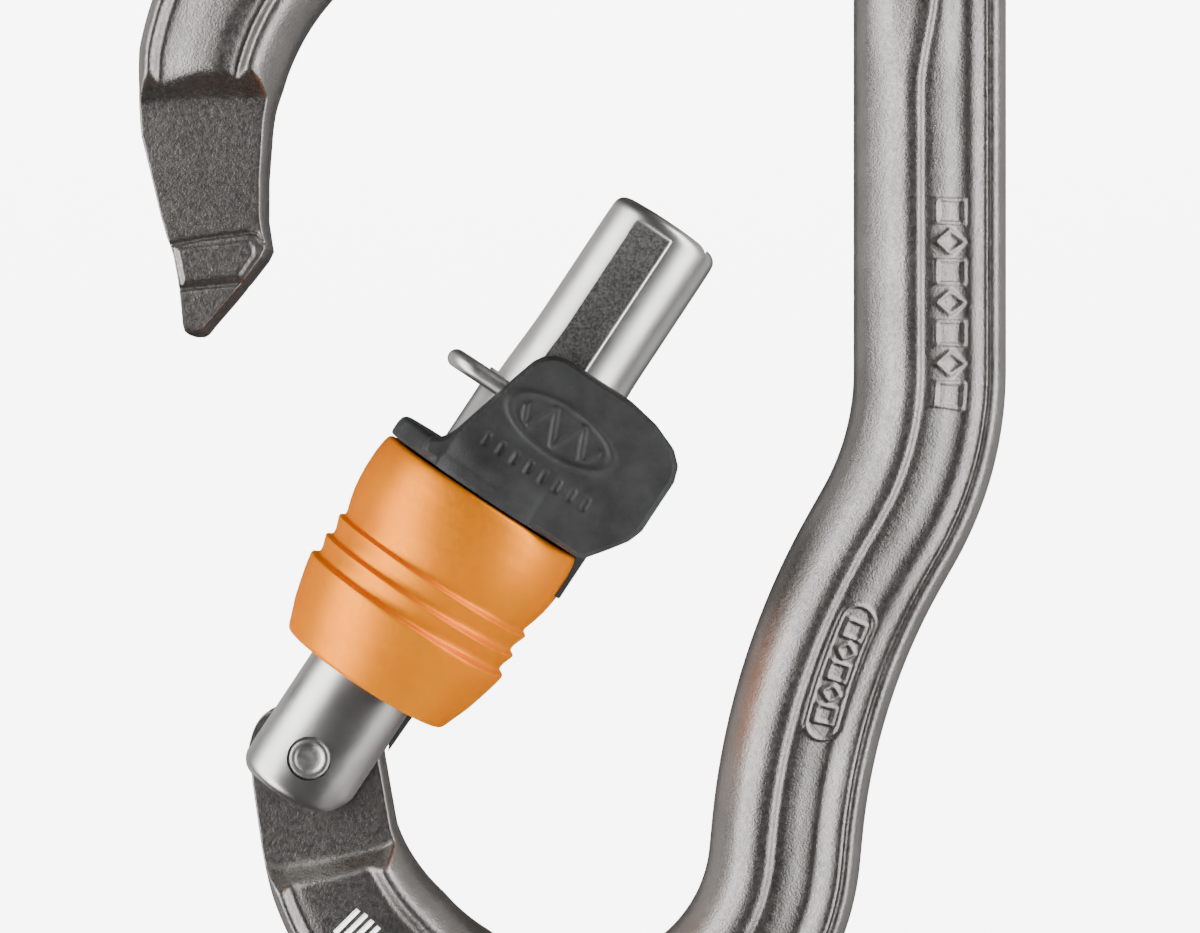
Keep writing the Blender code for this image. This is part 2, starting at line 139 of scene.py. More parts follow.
def rounded(points, count):
    """A Catmull-Rom curve through the points, resampled at even lengths."""
    p = np.array(points)
    p = np.vstack([2 * p[0] - p[1], p, 2 * p[-1] - p[-2]])
    t = np.linspace(0.0, 1.0, 10, endpoint=False)[:, None]
    pieces = []
    for a, b, c, d in zip(p[:-3], p[1:-2], p[2:-1], p[3:]):
        pieces.append(0.5 * (2 * b + (c - a) * t + (2 * a - 5 * b + 4 * c - d) * t**2
                             + (3 * b - a - 3 * c + d) * t**3))
    curve = np.vstack(pieces + [p[-2:-1]])
    length = np.concatenate([[0.0], np.cumsum(np.hypot(*np.diff(curve, axis=0).T))])
    even = np.linspace(0.0, length[-1], count)
    return np.column_stack([np.interp(even, length, curve[:, k]) for k in (0, 1)])


SECTIONS = {
    name: rounded(points, ACROSS)
    for name, points in (
        ("nose", NOSE_SECTION), ("spine", SPINE_SECTION), ("lower", LOWER_SECTION), ("neck", NECK_SECTION),
    )
}

# Relief on the faces of the bar: the nose's pad and grooves, and plain forged marks.
PAD = ((-41.9, -34.5), (-35.4, -33.75), (-34.75, -34.4), (-34.7, -35.3), (-36.1, -37.3), (-41.2, -37.9))
PAD_RISE, GROOVE_DEPTH, GROOVE_HALF = 0.26, 0.3, 0.2
GROOVES = (
    ((-43.0, -34.5), (-42.2, -34.35), (-39.6, -33.85), (-35.5, -33.3), (-34.8, -33.45), (-34.2, -34.1)),
    ((-42.2, -38.2), (-36.0, -37.6)),
)
LONG_MARK = (133.4, 1.2, 9.0)  # distance along the bar, place across it, half length
SHORT_MARK = (166.2, 0.95, 6.0)
MARK_RISE, MARK_HALF = 0.2, 0.17


def segment_distance(x, z, points):
    """Distance from each place to a chain of straight segments."""
    nearest = np.full(np.shape(x), 1e9)
    for (ax, az), (bx, bz) in zip(points[:-1], points[1:]):
        dx, dz = bx - ax, bz - az
        t = np.clip(((x - ax) * dx + (z - az) * dz) / (dx * dx + dz * dz), 0.0, 1.0)
        nearest = np.minimum(nearest, np.hypot(x - ax - t * dx, z - az - t * dz))
    return nearest


def inside_distance(x, z, corners):
    """Signed distance to a convex outline, listed clockwise: negative inside."""
    found = np.full(np.shape(x), -1e9)
    for (ax, az), (bx, bz) in zip(corners, corners[1:] + corners[:1]):
        length = math.hypot(bx - ax, bz - az)
        found = np.maximum(found, ((x - ax) * (az - bz) + (z - az) * (bx - ax)) / length)
    return found


def ridge(distance, half=MARK_HALF):
    return np.exp(-((distance / half) ** 2))


def tokens(along, across, half_length, half_width, pitch):
    """Outlined squares and diamonds in a row: a plain forged pattern that says nothing."""
    cell = np.floor((along + half_length) / pitch)
    local = along + half_length - (cell + 0.5) * pitch
    size = min(half_width, pitch * 0.38)
    square = np.maximum(np.abs(local), np.abs(across) * size / half_width) - size
    diamond = (np.abs(local) + np.abs(across) * size / half_width - size) * 0.7
    shape = np.where(cell % 2 == 0, square, diamond)
    return ridge(shape) * (np.abs(along) < half_length)


def capsule(along, across, half_length, half_width):
    reach = np.maximum(np.abs(along) - (half_length - half_width), 0.0)
    return np.hypot(reach, across) - half_width


def relief(x, z, distance, across):
    pad = PAD_RISE * (1 - smooth(inside_distance(x, z, PAD), -0.55, 0.0))
    cuts = sum(GROOVE_DEPTH * ridge(segment_distance(x, z, line), GROOVE_HALF) for line in GROOVES)
    a, c, half = distance - LONG_MARK[0], across - LONG_MARK[1], LONG_MARK[2]
    long_mark = tokens(a, c, half, 1.25, 2 * half / 7)
    a, c, half = distance - SHORT_MARK[0], across - SHORT_MARK[1], SHORT_MARK[2]
    short_mark = np.maximum(ridge(capsule(a, c, half, 1.5)), tokens(a, c, half - 1.2, 0.8, 1.92))
    return pad * (distance < 12) - cuts * (distance < 12) + MARK_RISE * (long_mark + short_mark)


def tongue_top():
    """The height of the tongue's cam above the pivot, for each place across the bar."""
    angles = np.linspace(CAM[0][0], CAM[-1][0], 200)
    radii = np.interp(angles, *zip(*CAM))
    x, z = radii * np.sin(np.radians(angles)), radii * np.cos(np.radians(angles))
    heading = math.radians(270.0 + sum(step[2] for step in BODY if step[0] == "arc"))
    across = z * math.cos(heading) - x * math.sin(heading)
    along = x * math.cos(heading) + z * math.sin(heading)
    order = np.argsort(across)
    return across[order], along[order]


CROWN = (40.0, 60.0, SPINE_AT + 0.5, SPINE_AT + 9.5)  # where the recess's inner edge swings outwards


def section_at(distance):
    """The bar's half section there, before its ends are thinned to a plate."""
    mix = smooth(distance, 28.0, 50.0), smooth(distance, 150.0, 176.0), smooth(distance, 196.0, 222.0)
    shape = SECTIONS["nose"]
    for share, name in zip(mix, ("spine", "lower", "neck")):
        shape = shape * (1 - share) + SECTIONS[name] * share
    swing = smooth(distance, CROWN[0], CROWN[1]) * (1 - smooth(distance, CROWN[2], CROWN[3]))
    shape = shape.copy()
    shape[:, 0] += 1.2 * swing * np.cos(np.clip((shape[:, 0] + 1.5) / 4.2, -1, 1) * math.pi / 2) ** 2
    return shape


def edges_at(distance):
    keys, at = (NOSE, distance) if distance < PATH_END / 2 else (NECK, PIVOT_AT - distance)
    return [np.interp(at, [k[0] for k in keys], [k[i] for k in keys]) for i in (1, 2)]


def stations():
    """Distances of the rings: close together where there is relief, and wider elsewhere."""
    parts = (
        (0.0, 0.9, 0.06), (0.9, 12.0, 0.11), (12.0, 26.0, 0.2), (26.0, 122.0, 0.6), (122.0, 144.0, 0.13),
        (144.0, 159.0, 0.35), (159.0, 174.0, 0.13), (174.0, 232.0, 0.5), (232.0, PATH_END, 0.2),
    )
    return np.unique(np.concatenate([np.linspace(a, b, round((b - a) / s) + 1) for a, b, s in parts]))


def bar_surface():
    """Points (x, height, z) of the bar's half surface, as arrays with one row for each ring."""
    top = tongue_top()
    rows = []
    for distance in stations():
        x, z, heading = (np.interp(distance, PATH[0], row) for row in PATH[1:])
        inner, outer = edges_at(distance)
        shape = section_at(distance)
        across = (inner + outer) * (shape[:, 0] / BAR_HALF + 1) / 2 - inner
        wide = np.abs(across / BAR_HALF)
        nose_past = distance - NOSE_SHOULDER + 0.5 + 0.2 * across
        neck_past = PIVOT_AT - NECK_SHOULDER - 0.8 + 0.12 * across - distance + 0.7 * smooth(wide, 0.6, 1.0)
        past = np.minimum(SHOULDER_RISE * nose_past, 1.6 * neck_past)
        limit = PLATE_HALF + (np.sqrt(past**2 + 0.16) + past) / 2
        height = -np.log(np.exp(-5 * shape[:, 1]) + np.exp(-5 * limit)) / 5
        height = np.maximum(height, 0.0) * (0.7 + 0.3 * math.sqrt(1 - (1 - min(distance / 1.0, 1.0)) ** 2))
        height[[0, -1]] = 0.0
        lean = (distance - PIVOT_AT - END_FROM) / (NECK_PAST_PIVOT - END_FROM)
        along = max(lean, 0.0) * (np.interp(across, *top) - NECK_PAST_PIVOT)
        turn = math.radians(heading)
        xs = x - across * math.sin(turn) + along * math.cos(turn)
        zs = z + across * math.cos(turn) + along * math.sin(turn)
        height[1:-1] += relief(xs, zs, distance, across)[1:-1] * smooth(height[1:-1], 1.5, 2.5)
        rows.append(np.column_stack([xs, height, zs]))
    return np.array(rows)


def mesh_object(name, points, faces):
    mesh = bpy.data.meshes.new(name)
    mesh.from_pydata((np.asarray(points) * MM).tolist(), [], faces)
    shape = bmesh.new()
    shape.from_mesh(mesh)
    bmesh.ops.recalc_face_normals(shape, faces=shape.faces)
    shape.to_mesh(mesh)
    shape.free()
    mesh.shade_smooth()
    made = bpy.data.objects.new(name, mesh)
    bpy.context.scene.collection.objects.link(made)
    return made


def build_bar():
    upper = bar_surface()
    lower = upper[:, -2:0:-1] * (1, -1, 1)
    rings = np.concatenate([upper, lower], axis=1)
    count = rings.shape[1]
    faces = []
    for k in range(len(rings) - 1):
        for i in range(count):
            j = (i + 1) % count
            faces.append((k * count + i, k * count + j, (k + 1) * count + j, (k + 1) * count + i))
    for start in (0, (len(rings) - 1) * count):
        for i in range(count // 2):
            across_from, across_to = start + (count - i - 1) % count, start + (count - i) % count
            corners = [start + i, start + i + 1, across_from, across_to]
            faces.append(tuple(dict.fromkeys(corners)))
    return mesh_object("forged_bar", rings.reshape(-1, 3), faces)


def on_gate(obj):
    """Moves a mesh from the gate's own frame to where the open gate stands."""
    place = Matrix.Translation((PIVOT[0] * MM, 0.0, PIVOT[1] * MM))
    obj.data.transform(place @ Matrix.Rotation(math.radians(GATE_LEAN), 4, "Y"))
    return obj


def turned(name, profile, steps=160, ring=False):
    """A mesh turned about Z from a profile of (radius, height)."""
    rows = np.array(profile)
    angles = np.linspace(0.0, 2 * math.pi, steps, endpoint=False)
    x, y = np.outer(np.cos(angles), rows[:, 0]), np.outer(np.sin(angles), rows[:, 0])
    points = np.stack([x, y, np.broadcast_to(rows[:, 1], x.shape)], axis=-1).reshape(-1, 3)
    count, faces = len(rows), []
    for k in range(steps):
        after = (k + 1) % steps
        for i in range(count if ring else count - 1):
            j = (i + 1) % count
            faces.append((k * count + i, k * count + j, after * count + j, after * count + i))
    made = mesh_object(name, points, faces)
    shape = bmesh.new()
    shape.from_mesh(made.data)
    bmesh.ops.remove_doubles(shape, verts=shape.verts, dist=1e-7)
    bmesh.ops.recalc_face_normals(shape, faces=shape.faces)
    shape.to_mesh(made.data)
    shape.free()
    return made


def softened(profile, radius, count=5):
    """The same profile with each inner corner rounded to about the radius."""
    found = [profile[0]]
    for before, corner, after in zip(profile[:-2], profile[1:-1], profile[2:]):
        corner = np.array(corner)
        arms = [np.array(before) - corner, np.array(after) - corner]
        reach = [min(radius, 0.45 * np.hypot(*arm)) / max(np.hypot(*arm), 1e-9) for arm in arms]
        start, end = corner + arms[0] * reach[0], corner + arms[1] * reach[1]
        for t in np.linspace(0.0, 1.0, count):
            found.append(tuple((1 - t) ** 2 * start + 2 * t * (1 - t) * corner + t * t * end))
    return found + [profile[-1]]


def box(name, low, high, round_by=0.0):
    corners = [(x, y, z) for x in (low[0], high[0]) for y in (low[1], high[1]) for z in (low[2], high[2])]
    faces = [(0, 1, 3, 2), (4, 6, 7, 5), (0, 4, 5, 1), (2, 3, 7, 6), (0, 2, 6, 4), (1, 5, 7, 3)]
    made = mesh_object(name, corners, faces)
    if round_by:
        bevel = made.modifiers.new("round", "BEVEL")
        bevel.width, bevel.segments = round_by * MM, 4
    return made


def cut(target, tools, operation="DIFFERENCE"):
    """Applies each tool to the target's mesh, and removes the tools."""
    for tool in tools:
        modifier = target.modifiers.new("cut", "BOOLEAN")
        modifier.operation, modifier.solver, modifier.object = operation, "EXACT", tool
    bake(target)
    for tool in tools:
        bpy.data.objects.remove(tool, do_unlink=True)
    return target


def bake(obj):
    """Replaces an object's mesh with what its modifiers make of it."""
    graph = bpy.context.evaluated_depsgraph_get()
    mesh = bpy.data.meshes.new_from_object(obj.evaluated_get(graph))
    obj.modifiers.clear()
    obj.data = mesh
    return obj


def crisp(obj, degrees=32.0):
    """Smooth shading that keeps edges sharper than an angle."""
    obj.data.shade_smooth()
    shape = bmesh.new()
    shape.from_mesh(obj.data)
    for edge in shape.edges:
        edge.smooth = len(edge.link_faces) == 2 and edge.calc_face_angle(0.0) < math.radians(degrees)
    shape.to_mesh(obj.data)
    shape.free()
    return obj


# Gate and sleeve, in the gate's own frame: X across, Y through, Z along it from the pivot.
GATE_PROFILE = (
    (0.0, 54.5), (5.45, 54.5), (5.5, 52.0), (5.5, 41.5), (5.72, 36.5), (5.75, 8.0), (5.75, -2.0),
    (5.6, -4.1), (0.0, -4.1),
)
SLOT_HALF = 3.05
NOSE_SLOT = (36.0, 4.3)  # from, back wall
HINGE_SLOT_TOP = 7.6
FACET = (-2.35, 1.6, 27.0, 53.3, 5.12)  # left, right, from, to, distance from the middle
GATE_CORNERS = (3.9, 2.1)  # radius of the hinge end's corners, right and left
HINGE_HALF = 5.0
RING_PROFILE = (
    (9.5, 26.33), (9.75, 26.2), (9.9, 25.6), (10.0, 24.6), (10.0, 23.0), (9.9, 21.8), (9.75, 20.8),
    (9.5, 19.8), (9.2, 18.85), (9.17, 18.5), (9.58, 18.28), (9.56, 18.1), (9.15, 17.0), (9.14, 16.5),
    (9.62, 16.28), (9.6, 16.1), (9.25, 15.1), (9.25, 14.6), (9.8, 14.35), (9.82, 14.1), (9.6, 13.0),
    (9.3, 11.8), (8.85, 10.2), (8.35, 8.9), (8.0, 7.95), (7.8, 7.7), (7.5, 7.65), (7.15, 7.75),
    (7.1, 10.6), (8.2, 10.6), (8.2, 26.2),
)
COLLAR_PROFILE = (
    (6.9, 28.5), (9.3, 28.5), (9.7, 28.2), (9.8, 27.6), (9.8, 26.7), (9.7, 26.52), (7.9, 26.5),
    (7.9, 12.6), (7.1, 12.6), (7.1, 26.3), (6.05, 26.3), (6.05, 28.5),
)
CHEEK_OUTLINE = (
    (-6.6, 26.8), (-6.3, 28.3), (-5.6, 28.75), (-5.1, 29.4), (-4.8, 30.2), (-4.0, 33.2), (-3.1, 36.6),
    (-2.6, 38.3), (-2.1, 39.1), (-1.4, 39.65), (-0.4, 39.95), (6.0, 40.0), (8.9, 39.5), (11.2, 38.6),
    (12.3, 37.6), (12.75, 36.3), (12.75, 31.4), (12.3, 30.1), (11.2, 28.5), (10.3, 27.3), (9.9, 26.6),
)
CHEEK_HALF, CHEEK_ROUND = 8.65, 1.3
COLLAR_R = 9.75  # the cheeks sweep out to this at the collar
RIB = (9.3, 10.2, 2.4, 22.6, 28.0)  # inside, outside, half width, from, to
WINDOW = (8.4, 10.3, 4.1, 7.5, 34.6, 41.0)  # in, out, near, far, from, to
WIRE_R, WIRE_AT, WIRE_LEG = 0.79, 34.95, 6.85
WIRE_BIGHT, WIRE_BACK, WIRE_TURN, WIRE_END = -8.3, 9.3, 2.2, 1.2
RIVET_PROFILE = (
    (0.0, 5.12), (0.7, 5.13), (1.05, 5.2), (1.25, 5.33), (1.45, 5.35), (1.65, 5.28), (1.83, 5.05),
    (1.85, 4.7), (1.85, 4.3), (1.5, 4.3),
)
PRINT_TILT, PRINT_FROM = 45.0, (-25.9, -90.3)  # degrees, top corner
PRINT_PITCH, PRINT_WIDE = 0.75, 0.42
PRINT_BARS = ((-3.0, -0.2), (-2.4, 0.0), (-3.2, 0.0), (-2.8, 0.0))  # from, to, one row for each bar
BADGE = (2.6, 34.6, 4.9, 2.1)  # on the cheek: across, along, half length, half height
LINE_MARK = (2.3, 30.7, 5.6)  # across, along, half length


def rod(name, radius, low, high, along_y=False):
    made = turned(name, ((0.0, high), (radius, high), (radius, low), (0.0, low)), 96)
    if along_y:
        made.data.transform(Matrix.Rotation(math.radians(-90.0), 4, "X"))
    return made


def hinge_end():
    """The shape that the gate's hinge end is trimmed to: rounded corners seen from the front."""
    right, left = GATE_CORNERS
    low, points = -4.1, [(7.0, 60.0), (7.0, 3.0)]
    for centre, radius, first in ((HINGE_HALF - right, right, 0.0), (left - HINGE_HALF, left, -90.0)):
        for angle in np.radians(first - np.linspace(0.0, 90.0, 10)):
            points.append((centre + radius * math.cos(angle), low + radius + radius * math.sin(angle)))
    return points + [(-7.0, 3.0), (-7.0, 60.0)]


def prism(name, outline, half):
    count = len(outline)
    points = [(x, y, z) for y in (-half, half) for x, z in outline]
    sides = [(i, (i + 1) % count, (i + 1) % count + count, i + count) for i in range(count)]
    ends = [tuple(range(count)), tuple(range(2 * count - 1, count - 1, -1))]
    return mesh_object(name, points, sides + ends)


def build_gate():
    gate = turned("turned_gate", softened(GATE_PROFILE, 1.3, 7), 192)
    left, right, low, high, face = FACET
    tools = [
        box("hinge_slot", (-9, -SLOT_HALF, -9), (9, SLOT_HALF, HINGE_SLOT_TOP)),
        box("nose_slot", (-9, -SLOT_HALF, NOSE_SLOT[0]), (NOSE_SLOT[1], SLOT_HALF, 60)),
        rod("bore", 2.0, 5.0, 22.0),
        rod("rivet_bore", 1.55, -8.0, 8.0, True),
        rod("head_near", 1.87, -9.0, -4.25, True),
        rod("head_far", 1.87, 4.25, 9.0, True),
        box("facet_near", (left, -9, low), (right, -face, high), 0.35),
        box("facet_far", (left, face, low), (right, 9, high), 0.35),
    ]
    cut(gate, tools)
    trim = prism("trim", hinge_end(), 8.0)
    cut(gate, [trim], "INTERSECT")
    return on_gate(crisp(gate))


def build_ring():
    return on_gate(crisp(turned("orange_ring", softened(RING_PROFILE, 0.22, 4), 220, ring=True), 40.0))


def wire_path(step_count=14):
    """The bail's centreline: a squared U round the gate, its two ends turned in at the back."""
    corner, back = 2.4, [(WIRE_BACK, WIRE_END)]
    for turn_x, turn_y, radius, first in (
        (WIRE_BACK - WIRE_TURN, WIRE_LEG - WIRE_TURN, WIRE_TURN, 0.0),
        (WIRE_BIGHT + corner, WIRE_LEG - corner, corner, 90.0),
    ):
        for step in range(step_count + 1):
            angle = math.radians(first + 90.0 * step / step_count)
            back.append((turn_x + radius * math.cos(angle), turn_y + radius * math.sin(angle)))
    points = [(x, y, WIRE_AT) for x, y in back]
    return points + [(x, -y, z) for x, y, z in reversed(points)]


def tube(name, points, radius):
    curve = bpy.data.curves.new(name, "CURVE")
    curve.dimensions, curve.use_fill_caps = "3D", True
    curve.bevel_depth, curve.bevel_resolution = radius * MM, 8
    spline = curve.splines.new("POLY")
    spline.points.add(len(points) - 1)
    for place, point in zip(spline.points, points):
        place.co = (*(c * MM for c in point), 1.0)
    path = bpy.data.objects.new(name + "_path", curve)
    bpy.context.scene.collection.objects.link(path)
    mesh = bpy.data.meshes.new_from_object(path.evaluated_get(bpy.context.evaluated_depsgraph_get()))
    bpy.data.objects.remove(path, do_unlink=True)
    made = bpy.data.objects.new(name, mesh)
    bpy.context.scene.collection.objects.link(made)
    shape = bmesh.new()
    shape.from_mesh(mesh)
    bmesh.ops.remove_doubles(shape, verts=shape.verts, dist=1e-7)
    bmesh.ops.recalc_face_normals(shape, faces=shape.faces)
    shape.to_mesh(mesh)
    shape.free()
    mesh.shade_smooth()
    return made


def cheek_relief(n, s):
    """Plain moulded marks where such a cap carries lettering: an oval badge and a row of ticks."""
    across, along = n - BADGE[0], s - BADGE[1]
    oval = np.hypot(across / BADGE[2], along / BADGE[3]) - 1.0
    rim = ridge(oval * BADGE[3], 0.2)
    peaks = np.abs(np.abs(((across + 4.2) % 2.8) - 1.4) - 0.7 - along * 0.45)
    fill = ridge(peaks, 0.26) * (oval < -0.22)
    tick = np.abs(((n - LINE_MARK[0] + 50.0) % 1.4) - 0.7)
    ticks = (1 - smooth(tick, 0.12, 0.3)) * (1 - smooth(np.abs(s - LINE_MARK[1]), 0.45, 0.65))
    return 0.22 * np.maximum(rim, fill) - 0.2 * ticks * (np.abs(n - LINE_MARK[0]) < LINE_MARK[2])


def build_cap():
    cheeks = prism("cheeks", CHEEK_OUTLINE, CHEEK_HALF)
    bevel = cheeks.modifiers.new("soften", "BEVEL")
    bevel.width, bevel.segments, bevel.limit_method = CHEEK_ROUND * MM, 5, "ANGLE"
    bevel.angle_limit = math.radians(50.0)
    inside, outside, half, low, high = RIB
    cap = turned("moulded_cap", COLLAR_PROFILE, 160, ring=True)
    cut(cap, [cheeks, box("rib", (inside, -half, low), (outside, half, high))], "UNION")
    near, far, start, stop, low, high = WINDOW
    tools = [
        rod("passage", 6.05, 25.5, 45.0),
        box("window_near", (near, -stop, low), (far, -start, high)),
        box("window_far", (near, start, low), (far, stop, high)),
        tube("wire_channel", wire_path(), WIRE_R + 0.25),
    ]
    cut(cap, tools)
    remesh = cap.modifiers.new("blend", "REMESH")
    remesh.mode, remesh.voxel_size, remesh.use_smooth_shade = "VOXEL", 0.15 * MM, True
    relax = cap.modifiers.new("relax", "SMOOTH")
    relax.factor, relax.iterations = 0.5, 5
    bake(cap)
    places = np.empty(len(cap.data.vertices) * 3)
    cap.data.vertices.foreach_get("co", places)
    places = places.reshape(-1, 3)
    across, along = places[:, 0] / MM, places[:, 2] / MM
    height = np.abs(places[:, 1]) / MM
    bulge = np.sqrt(np.maximum(COLLAR_R**2 - across**2, CHEEK_HALF**2)) - CHEEK_HALF
    swept = CHEEK_HALF + bulge * (1 - smooth(along, 28.3, 32.0))
    on_face = (height > CHEEK_HALF - 0.15) & (along > 26.5)
    raised = np.where(on_face, np.maximum(height, swept), height)
    raised += cheek_relief(across, along) * smooth(height, CHEEK_HALF - 0.5, CHEEK_HALF - 0.15)
    places[:, 1] = np.sign(places[:, 1]) * raised * MM
    cap.data.vertices.foreach_set("co", places.ravel())
    cap.data.shade_smooth()
    return on_gate(cap)


def build_rivet():
    half = softened(RIVET_PROFILE, 0.1, 3)
    rivet = turned("rivet", tuple(half) + tuple((r, -z) for r, z in reversed(half)), 96)
    to_pivot = Matrix.Translation((PIVOT[0] * MM, 0, PIVOT[1] * MM))
    rivet.data.transform(to_pivot @ Matrix.Rotation(math.pi / 2, 4, "X"))
    return crisp(rivet, 40.0)


def new_material(name, metallic, roughness, colour):
    """A Principled material and its node tree, with the values that are even all over."""
    made = bpy.data.materials.new(name)
    made.use_nodes = True
    tree = made.node_tree
    shader = tree.nodes["Principled BSDF"]
    shader.inputs["Metallic"].default_value = metallic
    shader.inputs["Roughness"].default_value = roughness
    shader.inputs["Base Color"].default_value = (*colour, 1.0)
    return made, tree, shader


def noise(tree, scale, detail=3.0, stretch=None):
    """A noise texture over object coordinates, with its grain size in features a metre."""
    place = tree.nodes.new("ShaderNodeTexCoord")
    texture = tree.nodes.new("ShaderNodeTexNoise")
    texture.inputs["Scale"].default_value = scale
    texture.inputs["Detail"].default_value = detail
    source = place.outputs["Object"]
    if stretch:
        mapping = tree.nodes.new("ShaderNodeMapping")
        mapping.inputs["Scale"].default_value = stretch[0]
        mapping.inputs["Rotation"].default_value = stretch[1]
        tree.links.new(source, mapping.inputs["Vector"])
        source = mapping.outputs["Vector"]
    tree.links.new(source, texture.inputs["Vector"])
    return texture.outputs["Fac"]


def ranged(tree, value, low, high, start=0.3, end=0.7):
    """The value, whose useful span is start to end, turned into low to high."""
    node = tree.nodes.new("ShaderNodeMapRange")
    for name, number in (("From Min", start), ("From Max", end), ("To Min", low), ("To Max", high)):
        node.inputs[name].default_value = number
    tree.links.new(value, node.inputs["Value"])
    return node.outputs["Result"]


def blend(tree, share, first, second):
    node = tree.nodes.new("ShaderNodeMix")
    node.data_type = "RGBA"
    node.inputs["A"].default_value, node.inputs["B"].default_value = (*first, 1.0), (*second, 1.0)
    tree.links.new(share, node.inputs["Factor"])
    return node.outputs["Result"]


def bump(tree, shader, heights):
    """Bumps stacked on one another: pairs of a height and its depth in metres."""
    normal = None
    for height, depth in heights:
        node = tree.nodes.new("ShaderNodeBump")
        node.inputs["Strength"].default_value = 1.0
        node.inputs["Distance"].default_value = depth
        tree.links.new(height, node.inputs["Height"])
        if normal:
            tree.links.new(normal, node.inputs["Normal"])
        normal = node.outputs["Normal"]
    tree.links.new(normal, shader.inputs["Normal"])


def blasted_alloy():
    """Bead-blasted forging under warm grey anodising: fine pits, and a tone that varies at random."""
    made, tree, shader = new_material("blasted_alloy", 1.0, 0.4, (0.33, 0.315, 0.3))
    shade = blend(tree, ranged(tree, noise(tree, 260.0), 0.0, 1.0), (0.3, 0.285, 0.27), (0.37, 0.352, 0.335))
    tree.links.new(shade, shader.inputs["Base Color"])
    tree.links.new(ranged(tree, noise(tree, 2600.0), 0.34, 0.48), shader.inputs["Roughness"])
    bump(tree, shader, ((noise(tree, 5200.0, 2.0), 0.000035), (noise(tree, 1500.0, 2.0), 0.00003)))
    return made


def turned_alloy():
    """Bright gate: an even tumbled satin."""
    made, tree, shader = new_material("satin_alloy", 1.0, 0.3, (0.72, 0.71, 0.69))
    shade = blend(tree, ranged(tree, noise(tree, 300.0), 0.0, 1.0), (0.66, 0.65, 0.635), (0.76, 0.75, 0.735))
    tree.links.new(shade, shader.inputs["Base Color"])
    tree.links.new(ranged(tree, noise(tree, 380.0), 0.29, 0.35), shader.inputs["Roughness"])
    bump(tree, shader, ((noise(tree, 6000.0, 1.0), 0.000002),))
    return made


def grainy_facet_painted_shade():
    """The flat down the gate's face: blasted and grainy, with its colour painted dark as painted shade."""
    made, tree, shader = new_material("grainy_facet_painted_shade", 1.0, 0.5, (0.24, 0.235, 0.23))
    grain = ranged(tree, noise(tree, 5200.0, 2.0), 0.0, 1.0, 0.38, 0.62)
    # painted shade: both tones of the flat are far darker than the gate's own satin; the grain between them
    # is real
    shade = blend(tree, grain, (0.16, 0.155, 0.15), (0.31, 0.30, 0.29))
    tree.links.new(shade, shader.inputs["Base Color"])
    tree.links.new(ranged(tree, noise(tree, 3000.0), 0.42, 0.58), shader.inputs["Roughness"])
    bump(tree, shader, ((noise(tree, 5200.0, 2.0), 0.00001),))
    return made


def steel(name, roughness=0.22):
    made, tree, shader = new_material(name, 1.0, roughness, (0.66, 0.65, 0.63))
    uneven = ranged(tree, noise(tree, 1800.0), roughness - 0.06, roughness + 0.08)
    tree.links.new(uneven, shader.inputs["Roughness"])
    bump(tree, shader, ((noise(tree, 4000.0, 2.0), 0.000006),))
    return made


def orange_anodised():
    made, tree, shader = new_material("orange_anodised", 0.88, 0.5, (1.0, 0.28, 0.0))
    shader.inputs["Specular Tint"].default_value = (1.0, 0.5, 0.05, 1.0)
    shade = blend(tree, ranged(tree, noise(tree, 240.0), 0.0, 1.0), (0.98, 0.26, 0.0), (1.0, 0.3, 0.0))
    tree.links.new(shade, shader.inputs["Base Color"])
    tree.links.new(ranged(tree, noise(tree, 2400.0), 0.42, 0.52), shader.inputs["Roughness"])
    bump(tree, shader, ((noise(tree, 6000.0, 2.0), 0.000014),))
    return made


def black_nylon():
    made, tree, shader = new_material("black_nylon", 0.0, 0.55, (0.012, 0.012, 0.0125))
    shader.inputs["Specular IOR Level"].default_value = 0.35
    cloud = ranged(tree, noise(tree, 500.0), 0.0, 1.0)
    shade = blend(tree, cloud, (0.01, 0.01, 0.0105), (0.016, 0.016, 0.0165))
    tree.links.new(shade, shader.inputs["Base Color"])
    tree.links.new(ranged(tree, noise(tree, 1600.0), 0.38, 0.5), shader.inputs["Roughness"])
    bump(tree, shader, ((noise(tree, 4200.0, 3.0), 0.00002),))
    return made


BOX_AWAY, BOX_TALL = 0.46, 0.8
BOXES = (  # name, degrees off the camera's direction, width, watts
    ("key_left", -60.0, 0.3, 3.9), ("key_right", 68.0, 0.26, 3.2),
    ("rim_left", -126.0, 0.3, 0.5), ("rim_right", 126.0, 0.3, 0.4),
)


def area_light(name, place, target, size, power):
    data = bpy.data.lights.new(name, "AREA")
    data.shape, data.size, data.size_y, data.energy = "RECTANGLE", size[0], size[1], power
    made = bpy.data.objects.new(name, data)
    bpy.context.scene.collection.objects.link(made)
    made.location = place
    made.rotation_euler = (Vector(target) - Vector(place)).to_track_quat("-Z", "Y").to_euler()
    return made


